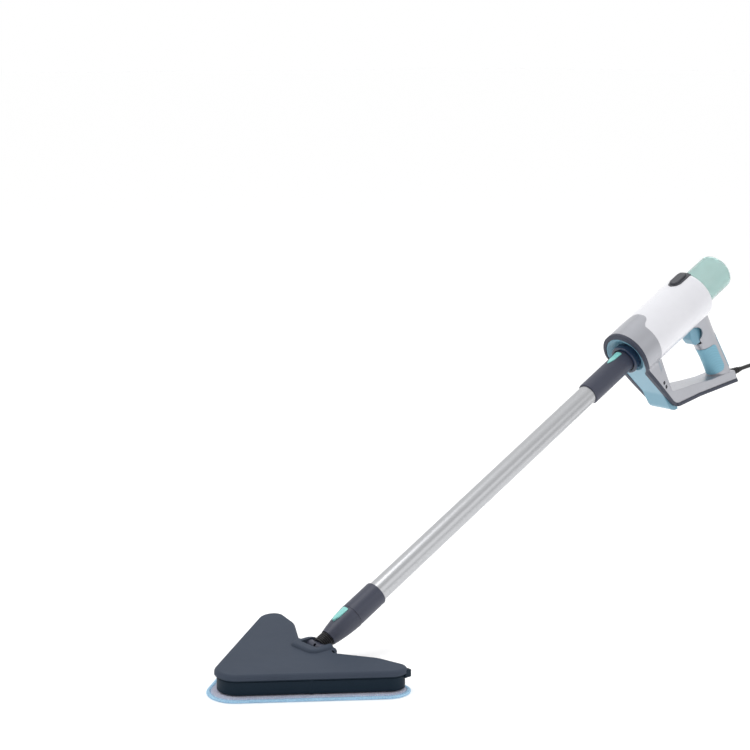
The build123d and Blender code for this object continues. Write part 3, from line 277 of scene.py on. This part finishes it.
POLE_STREAKS = (60.0, 1.2, 1.2)
M = {
    "lid": plastic("lid", (0.255, 0.285, 0.335), 0.55, 0.000015, 1200.0, edge=0.002, gloss=0.05),
    "head_side": plastic("head_side", (0.085, 0.145, 0.195), 0.5, 0.00002, gloss=0.12),
    "inner": plastic("inner_plastic", (0.24, 0.24, 0.26), 0.6),
    "coupling": plastic("coupling", (0.225, 0.24, 0.305), 0.42, 0.000015),
    "silver": plastic("satin_silver", (0.67, 0.675, 0.70), 0.33, 0.000006, 1600.0, 0.02, 0.25, 0.0016, 0.6),
    "white": plastic("white_gloss", (0.89, 0.89, 0.91), 0.22, 0.000004, 300.0, 0.015, 0.5),
    "light_blue": plastic("light_blue", (0.425, 0.61, 0.69), 0.34, 0.000008, 1200.0, 0.02, 0.2, 0.0014),
    "slate": plastic("slate", (0.19, 0.21, 0.275), 0.55, 0.00003, 1100.0, edge=0.0028),
    "navy": plastic("navy", (0.10, 0.165, 0.27), 0.32, 0.000006, 900.0, 0.04, 0.3),
    "grey": plastic("grey_trim", (0.47, 0.48, 0.50), 0.55),
    "dark": plastic("dark_button", (0.26, 0.265, 0.29), 0.5, 0.00003, 1100.0),
    "board": plastic("board_green", (0.12, 0.36, 0.22), 0.5, 0.00005, 220.0, 0.2),
    "pump": plastic("pump_body", (0.85, 0.85, 0.82), 0.45),
    "leaf": plastic("aqua_button", (0.55, 0.84, 0.82), 0.28, 0.000005, 900.0, 0.02, 0.4),
    "tube": metal("anodised_tube", (0.74, 0.745, 0.755), 0.30, POLE_STREAKS),
    "steel": metal("zinc_steel", (0.72, 0.72, 0.74), 0.35, (8.0, 8.0, 8.0)),
    "alloy": metal("cast_alloy", (0.68, 0.68, 0.69), 0.55, (3.0, 3.0, 3.0), 400.0, 0.00006),
    "element": metal("element", (0.40, 0.39, 0.38), 0.45, (5.0, 5.0, 5.0)),
    "pins": metal("plated_pins", (0.80, 0.77, 0.66), 0.25, (6.0, 6.0, 6.0)),
    "rubber": rubber("black_rubber", (0.085, 0.085, 0.095)),
    "gaiter": rubber("bellows_rubber", (0.09, 0.09, 0.105), 0.34, 0.00001),
    "cord": rubber("cord_jacket", (0.07, 0.07, 0.075), 0.5, 0.000015),
    "silicone": rubber("silicone", (0.78, 0.78, 0.76), 0.45, 0.000005),
    "grip": chevron("grip_inlay", (0.48, 0.685, 0.765), 3.2),
    "cloth": fabric("microfibre", (0.93, 0.93, 0.98), (0.74, 0.75, 0.84), 420.0, 0.0012),
    "hem": overlock("overlock_thread", (0.70, 0.86, 0.96), (0.50, 0.68, 0.82), 900.0),
    "thread": rubber("stitch_thread", (0.52, 0.72, 0.84), 0.8, 0.0),
    "hook": fabric("hook_tape", (0.20, 0.20, 0.22), (0.07, 0.07, 0.08), 700.0, 0.0006, 0.1),
    "tank": clear_tank("tinted_clear"),
}
PAINT = {
    "head_top_cover": "lid", "head_base": "head_side", "steam_distributor": "inner", "hook_strips": "hook",
    "cloth_catches": "head_side", "head_screws": "steel", "mop_cloth": "cloth", "cloth_hem": "hem",
    "joint_yoke": "coupling", "pitch_pins": "steel", "swing_pin": "steel", "mop_neck": "coupling",
    "neck_seal": "rubber", "neck_button": "leaf", "neck_button_spring": "steel", "bellows": "rubber",
    "lower_coupling": "coupling", "extension_tube": "tube", "steam_hose": "silicone",
    "upper_coupling": "coupling", "pole_seal": "rubber", "pole_button": "leaf", "pole_button_spring": "steel",
    "left_shell": "silver", "right_shell": "silver", "barrel_cover": "white", "outlet_socket": "navy",
    "outlet_seal": "rubber", "front_panel": "light_blue", "front_bumper": "slate", "base_bumper": "slate",
    "front_grip": "grip", "palm_grip": "grip", "trim_strip": "grey", "body_screws": "steel",
    "tank_collar": "dark", "tank_dock": "inner", "boiler": "alloy", "heating_element": "element",
    "thermostat": "inner", "water_pump": "pump", "suction_hose": "silicone", "feed_hose": "silicone",
    "steam_pipe": "silicone", "circuit_board": "board", "microswitch": "inner", "wire_harness": "rubber",
    "trigger_pin": "steel", "strain_relief": "rubber", "trigger": "light_blue", "trigger_spring": "steel",
    "tank_button": "dark", "tank_button_spring": "steel", "water_tank": "tank", "tank_cap": "inner",
    "tank_valve": "inner", "power_cord": "cord", "cord_coil": "cord", "plug_body": "cord",
    "plug_pins": "pins",
}
SMOOTH_BELOW = math.radians(32)  # edges sharper than this stay crisp
for node, obj in NODES.items():
    obj.data.materials.clear()
    obj.data.materials.append(M[PAINT[node]])
    for face in obj.data.polygons:
        face.use_smooth = True
    obj.data.set_sharp_from_angle(angle=SMOOTH_BELOW)


# ---------------------------------------------------------------- helpers for pieces
def add_mesh(name, bm, material, smooth=True):
    mesh = bpy.data.meshes.new(name)
    bm.to_mesh(mesh)
    bm.free()
    mesh.materials.append(M[material])
    if smooth:
        for face in mesh.polygons:
            face.use_smooth = True
    obj = bpy.data.objects.new(name, mesh)
    bpy.context.scene.collection.objects.link(obj)
    return obj


def rounded(corners, radii, step=1.5):
    """Closed outline (mm) through corners, each rounded by its radius, as evenly spaced points."""
    line = []
    count = len(corners)
    for i in range(count):
        before, here, after = (Vector(corners[(i + k) % count]) for k in (-1, 0, 1))
        radius = radii[i]
        into, out = (here - before).normalized(), (after - here).normalized()
        bend = into.angle_signed(out)
        cut = radius * math.tan(abs(bend) / 2)
        start, end = here - into * cut, here + out * cut
        side = Vector((-into.y, into.x)) * (-1 if bend > 0 else 1)
        centre = start + side * radius
        arms = max(2, int(abs(bend) * radius / step) + 1)
        for k in range(arms + 1):
            angle = -bend * k / arms
            arm = start - centre
            cosine, sine = math.cos(angle), math.sin(angle)
            line.append(centre + Vector((arm.x * cosine - arm.y * sine, arm.x * sine + arm.y * cosine)))
    return resample(line, step)


def resample(line, step):
    """Evenly spaced points along a closed line."""
    lengths = [0.0]
    closed = line + [line[0]]
    for a, b in zip(closed, closed[1:]):
        lengths.append(lengths[-1] + (b - a).length)
    count = max(8, int(lengths[-1] / step))
    points, k = [], 0
    for i in range(count):
        want = lengths[-1] * i / count
        while lengths[k + 1] < want:
            k += 1
        share = (want - lengths[k]) / max(1e-9, lengths[k + 1] - lengths[k])
        points.append(closed[k].lerp(closed[k + 1], share))
    return points


def offset_line(line, distance):
    """Outline moved outwards (for a line that runs anticlockwise) by a distance."""
    count = len(line)
    moved = []
    for i in range(count):
        along = (line[(i + 1) % count] - line[i - 1]).normalized()
        moved.append(line[i] + Vector((along.y, -along.x)) * distance)
    return moved


def loop_strip(rings, close_rings=False):
    """Mesh of quads between closed rings of equal point counts."""
    bm = bmesh.new()
    rows = [[bm.verts.new(p) for p in ring] for ring in rings]
    pairs = list(zip(rows, rows[1:]))
    if close_rings:
        pairs.append((rows[-1], rows[0]))
    for low, high in pairs:
        count = len(low)
        for i in range(count):
            j = (i + 1) % count
            bm.faces.new((low[i], low[j], high[j], high[i]))
    return bm, rows


# ---------------------------------------------------------------- mains cord
CORD_DIAMETER = 0.007
COIL_X, COIL_Y = 0.095, 1.050
COIL_MEAN = 0.041
COIL_COLUMNS = 5
COIL_TURNS = 18
ROUTE = [
    (0.0, 0.95619, 0.31596),
    (0.0, 1.00585, 0.32174),
    (0.001, 1.050, 0.320),
    (0.002, 1.085, 0.275),
    (0.004, 1.100, 0.210),
    (0.006, 1.106, 0.140),
    (0.010, 1.107, 0.075),
    (0.025, 1.1065, 0.024),
    (0.060, 1.106, 0.0035),
]
POINTS_PER_TURN = 16


def coil_points():
    """Turns wound from the outside in, then back out on the next layer, a diameter apart."""
    points = []
    for i in range(COIL_TURNS * POINTS_PER_TURN + 2):
        turns = i / POINTS_PER_TURN
        angle = math.radians(90) - 2 * math.pi * turns
        layer = int(turns / COIL_COLUMNS)
        within = turns - layer * COIL_COLUMNS
        lane = min(max(within - 0.5, 0.0), COIL_COLUMNS - 1.0)
        side = lane if layer % 2 == 0 else COIL_COLUMNS - 1.0 - lane
        radius = COIL_MEAN + ((COIL_COLUMNS - 1) / 2 - side) * CORD_DIAMETER
        rise = min(max((within - (COIL_COLUMNS - 0.5)) * 2, 0.0), 1.0)
        height = CORD_DIAMETER / 2 + (layer + rise) * CORD_DIAMETER
        points.append(Vector((COIL_X + radius * math.cos(angle), COIL_Y + radius * math.sin(angle), height)))
    return points


def curve_piece(name, points, radius, material, resolution=6):
    data = bpy.data.curves.new(name, "CURVE")
    data.dimensions = "3D"
    spline = data.splines.new("NURBS")
    spline.points.add(len(points) - 1)
    for target, point in zip(spline.points, points):
        target.co = (*point, 1.0)
    spline.order_u = 3
    spline.use_endpoint_u = True
    spline.resolution_u = resolution
    data.bevel_depth = radius
    data.bevel_resolution = 5
    data.use_fill_caps = True
    data.materials.append(M[material])
    obj = bpy.data.objects.new(name, data)
    bpy.context.scene.collection.objects.link(obj)
    return obj


PLUG_LOW, PLUG_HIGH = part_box("plug_body")
plug_tail = Vector((PLUG_HIGH.x, (PLUG_LOW.y + PLUG_HIGH.y) / 2, (PLUG_LOW.z + PLUG_HIGH.z) / 2))
# from the last turn round into the plug's tail, as offsets from it
TAIL = [
    (0.0040, 0.0775, -0.0160),
    (0.0175, 0.0705, -0.0145),
    (0.0270, 0.0605, -0.0125),
    (0.0330, 0.0475, -0.0100),
    (0.0345, 0.0330, -0.0070),
    (0.0310, 0.0190, -0.0040),
    (0.0225, 0.0085, -0.0015),
    (0.0115, 0.0020, 0.0),
    (0.0, 0.0, 0.0),
]
cord_line = [Vector(p) for p in ROUTE] + coil_points() + [plug_tail + Vector(p) for p in TAIL]
cord = curve_piece("mains_cord", cord_line, CORD_DIAMETER / 2, "cord")
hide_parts("power_cord", "cord_coil")
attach(cord, "unit")

# ---------------------------------------------------------------- mop cloth
HEAD_CORNERS = [(0, -196), (156, 16), (152, 47), (95, 33), (35, -5), (30, 13)]
HEAD_RADII = [34, 26, 17, 40, 7, 6]
left_corners = [(-x, y) for x, y in reversed(HEAD_CORNERS) if x]
OUTLINE_STEP = 0.6
head_line = rounded(HEAD_CORNERS + left_corners, HEAD_RADII + HEAD_RADII[:0:-1], OUTLINE_STEP)
CLOTH_SHIFT = -4.0
PAD_EDGE = 2.0


def ring_at(distance, height):
    """Ring round the head's outline (mm), at a distance outside it, in metres."""
    return [Vector((p.x, p.y + CLOTH_SHIFT, height)) * MM for p in offset_line(head_line, distance)]


# distance outside the head's outline and height, from the underside round the edge to the top
PAD_PROFILE = [(-8.0, 0.0), (0.6, 0.0), (PAD_EDGE, 0.5), (PAD_EDGE, 3.0), (1.2, 4.2), (-0.2, 4.55),
               (-2.0, 4.4), (-3.6, 4.55), (-8.0, 4.5)]
RIM_LOW, RIM_HIGH = 2.0, 4.55
PILE_JITTER = 0.00018
pad_rings = []
for distance, height in PAD_PROFILE:
    ring = ring_at(distance, height)
    if RIM_LOW < height < RIM_HIGH:
        for p in ring:
            p.z += PILE_JITTER * (random.random() - 0.5)
    pad_rings.append(ring)
bm, rows = loop_strip(pad_rings)
bm.faces.new(list(reversed(rows[0])))
bm.faces.new(rows[-1])
bmesh.ops.recalc_face_normals(bm, faces=bm.faces)
pad = add_mesh("microfibre_pad", bm, "cloth")
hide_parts("mop_cloth")
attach(pad, "head")

# overlocked edge: threads wrapped across the hem
HEM_PROFILE = [(1.6, 1.9), (2.2, 3.4), (4.0, 3.75), (6.0, 3.5), (7.5, 2.6), (7.9, 1.7), (7.3, 0.7),
               (5.6, 0.1), (2.4, 0.1)]
HEM_INNER, HEM_WIDTH, HEM_MIDDLE, HEM_FLAT = 1.6, 6.3, 1.9, 0.2
WRAP_PITCH, WRAP_SWELL, WRAP_LIFT = 2.1, 0.35, 0.00016
wraps = int(len(head_line) * OUTLINE_STEP / WRAP_PITCH)
hem_rings = []
for distance, height in HEM_PROFILE:
    ring = ring_at(distance, height)
    count = len(ring)
    outer = ring_at(distance + WRAP_SWELL, height)
    for i in range(count):
        swell = math.sin(2 * math.pi * wraps * i / count)
        share = (distance - HEM_INNER) / HEM_WIDTH
        if height > HEM_FLAT:
            ring[i] = ring[i].lerp(outer[i], (swell - 0.6) * share)
            ring[i].z += WRAP_LIFT * swell * (1 if height > HEM_MIDDLE else 0.2)
    hem_rings.append(ring)
bm, rows = loop_strip(hem_rings, close_rings=True)
bmesh.ops.recalc_face_normals(bm, faces=bm.faces)
hem = add_mesh("overlocked_hem", bm, "hem")
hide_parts("cloth_hem")
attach(hem, "head")


def stitch_row(name, distance, height, pitch, length, radius, material):
    """Row of small raised stitches along the outline."""
    line = ring_at(distance, height)
    spacing = max(1, int(pitch / OUTLINE_STEP))
    reach = max(1, int(length / OUTLINE_STEP))
    bm = bmesh.new()
    count = len(line)
    for start in range(0, count - spacing, spacing):
        points = [line[(start + k) % count] for k in range(reach + 1)]
        rings = []
        for k, p in enumerate(points):
            share = k / reach
            along = (line[(start + k + 1) % count] - line[(start + k - 1) % count]).normalized()
            side = Vector((along.y, -along.x, 0))
            swell = math.sqrt(max(0.02, 1 - (2 * share - 1) ** 2))
            ring = []
            for a in range(6):
                angle = math.pi * a / 3
                offset = side * math.cos(angle) + Vector((0, 0, 1)) * (math.sin(angle) * 0.8)
                ring.append(bm.verts.new(p + offset * radius * MM * swell))
            rings.append(ring)
        for low, high in zip(rings, rings[1:]):
            for a in range(6):
                b = (a + 1) % 6
                bm.faces.new((low[a], low[b], high[b], high[a]))
        bm.faces.new(list(reversed(rings[0])))
        bm.faces.new(rings[-1])
    return add_mesh(name, bm, material)


STITCH_PITCH, STITCH_LENGTH, STITCH_RADIUS = 3.0, 2.2, 0.42
for stitch_name, where, top in (("hem_stitches", 0.4, 4.45), ("edge_stitches", 2.6, 3.6)):
    stitches = stitch_row(stitch_name, where, top, STITCH_PITCH, STITCH_LENGTH, STITCH_RADIUS, "thread")
    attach(stitches, "head")

# ---------------------------------------------------------------- bellows
BELLOWS_START, BELLOWS_END = 4.6, 22.0
BELLOWS_RINGS = 6
BELLOWS_CREST, BELLOWS_VALLEY, BELLOWS_INNER = 12.0, 10.3, 9.6
pitch = (BELLOWS_END - BELLOWS_START) / BELLOWS_RINGS
bellows_profile = [(BELLOWS_INNER, BELLOWS_START)]
PROFILE_STEPS = 10
for k in range(BELLOWS_RINGS * PROFILE_STEPS + 1):
    share = k / PROFILE_STEPS
    lift = 0.5 - 0.5 * math.cos(2 * math.pi * share)
    bellows_profile.append(
        (BELLOWS_VALLEY + (BELLOWS_CREST - BELLOWS_VALLEY) * lift ** 0.55, BELLOWS_START + pitch * share)
    )
bellows_profile.append((BELLOWS_INNER, BELLOWS_END))
AROUND = 72
angles = [2 * math.pi * a / AROUND for a in range(AROUND)]
rings = []
for radius, along in bellows_profile:
    rings.append([pole(radius * math.cos(angle), radius * math.sin(angle), along) for angle in angles])
bm, rows = loop_strip(rings, close_rings=True)
bmesh.ops.recalc_face_normals(bm, faces=bm.faces)
bellows = add_mesh("rubber_bellows", bm, "gaiter")
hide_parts("bellows")
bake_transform(bellows)

# ---------------------------------------------------------------- springs
SPRING_SIDES = 8
SPRING_STEPS = 20
SPRING_TURNS = 4


def coil_spring(node, body, free_end, seat, radius, wire):
    """Open wire coil (mm) from its free end to its seat, as a mesh."""
    line = seat - free_end
    along = line.normalized()
    across = Vector((1, 0, 0))
    third = along.cross(across)
    steps = SPRING_STEPS * SPRING_TURNS
    centres = []
    for i in range(steps + 1):
        angle = 2 * math.pi * i / SPRING_STEPS
        arm = across * math.cos(angle) + third * math.sin(angle)
        centres.append(free_end + line * (i / steps) + arm * radius * MM)
    bm = bmesh.new()
    rings = []
    for i, centre in enumerate(centres):
        tangent = (centres[min(i + 1, steps)] - centres[max(i - 1, 0)]).normalized()
        side = tangent.cross(along).normalized()
        up = side.cross(tangent)
        ring = []
        for k in range(SPRING_SIDES):
            angle = 2 * math.pi * k / SPRING_SIDES
            ring.append(bm.verts.new(centre + (side * math.cos(angle) + up * math.sin(angle)) * wire * MM))
        rings.append(ring)
    for low, high in zip(rings, rings[1:]):
        for k in range(SPRING_SIDES):
            j = (k + 1) % SPRING_SIDES
            bm.faces.new((low[k], low[j], high[j], high[k]))
    bm.faces.new(rings[0])
    bm.faces.new(list(reversed(rings[-1])))
    bmesh.ops.recalc_face_normals(bm, faces=bm.faces)
    spring = add_mesh(node + "_coil", bm, "steel")
    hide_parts(node)
    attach(spring, body)
    return spring


# node, body, joint, free end and seat (x, drop, along), coil radius, wire radius, share left when pressed
SPRINGS = [
    ("neck_button_spring", "neck", "neck_button_press", (0, -13.5, 57.5), (0, -7.5, 57.5), 1.75, 0.3, 0.62),
    ("pole_button_spring", "pole", "pole_button_press", (0, -13.5, 711), (0, -7.5, 711), 1.75, 0.3, 0.62),
    ("tank_button_spring", "unit", "tank_button_press", (0, -44.4, 901), (0, -39.1, 901), 2.2, 0.35, 0.5),
    ("trigger_spring", "unit", "trigger_squeeze", (0, 62.6, 913.3), (0, 62.6, 921.5), 1.6, 0.3, 0.5),
]
for node, body, joint, free_end, seat, radius, wire, keep in SPRINGS:
    spring = coil_spring(node, body, pole(*free_end), pole(*seat), radius, wire)
    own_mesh(spring)

# ---------------------------------------------------------------- light and floor
DIM_SIDE = (0.72, -0.62, -0.30)  # the studio is darker on this side, which shades the forms
BRIGHT, DIM = 1.0, 0.30
world = bpy.data.worlds.new("studio")
world.use_nodes = True
tree = world.node_tree
direction = tree.nodes.new("ShaderNodeTexCoord")
facing = tree.nodes.new("ShaderNodeVectorMath")
facing.operation = "DOT_PRODUCT"
facing.inputs[1].default_value = DIM_SIDE
spread = tree.nodes.new("ShaderNodeMapRange")
spread.inputs["From Min"].default_value = -0.25
spread.inputs["From Max"].default_value = 0.95
spread.inputs["To Min"].default_value = BRIGHT
spread.inputs["To Max"].default_value = DIM
tree.links.new(direction.outputs["Generated"], facing.inputs[0])
tree.links.new(facing.outputs["Value"], spread.inputs["Value"])
tree.links.new(spread.outputs["Result"], tree.nodes["Background"].inputs["Strength"])
tree.nodes["Background"].inputs["Color"].default_value = (1, 1, 1, 1)
bpy.context.scene.world = world
bpy.context.scene.view_settings.view_transform = "Standard"


def area_light(name, place, target, size, power):
    data = bpy.data.lights.new(name, "AREA")
    data.shape = "SQUARE"
    data.size = size
    data.energy = power
    obj = bpy.data.objects.new(name, data)
    obj.location = place
    obj.rotation_euler = (Vector(target) - Vector(place)).to_track_quat("-Z", "Y").to_euler()
    bpy.context.scene.collection.objects.link(obj)


area_light("key", (-0.3, -0.6, 2.4), (0, 0.45, 0.15), 1.2, 15)
area_light("fill", (2.2, 0.6, 1.2), (0, 0.4, 0.1), 1.6, 6)
area_light("rim", (-0.8, 2.2, 2.1), (0, 0.7, 0.3), 1.2, 9)

FLOOR_HALF = 60.0
FLOOR_GAP = 0.0002  # the floor lies this far under the cloth and the coil
FLOOR_GLOW = 0.16  # keeps the far floor as white as the near one
bm = bmesh.new()
bmesh.ops.create_grid(bm, x_segments=8, y_segments=8, size=FLOOR_HALF)
floor_material = plastic("floor_white", (0.985, 0.985, 0.985), 0.8, 0.00003, 60.0, 0.003, edge=0.0)
floor_shader = floor_material.node_tree.nodes["Principled BSDF"]
floor_shader.inputs["Specular IOR Level"].default_value = 0.0
floor_shader.inputs["Emission Color"].default_value = (1, 1, 1, 1)
floor_shader.inputs["Emission Strength"].default_value = FLOOR_GLOW
M["floor"] = floor_material
floor = add_mesh("floor", bm, "floor", smooth=False)
floor.location = (0, 0, -FLOOR_GAP)
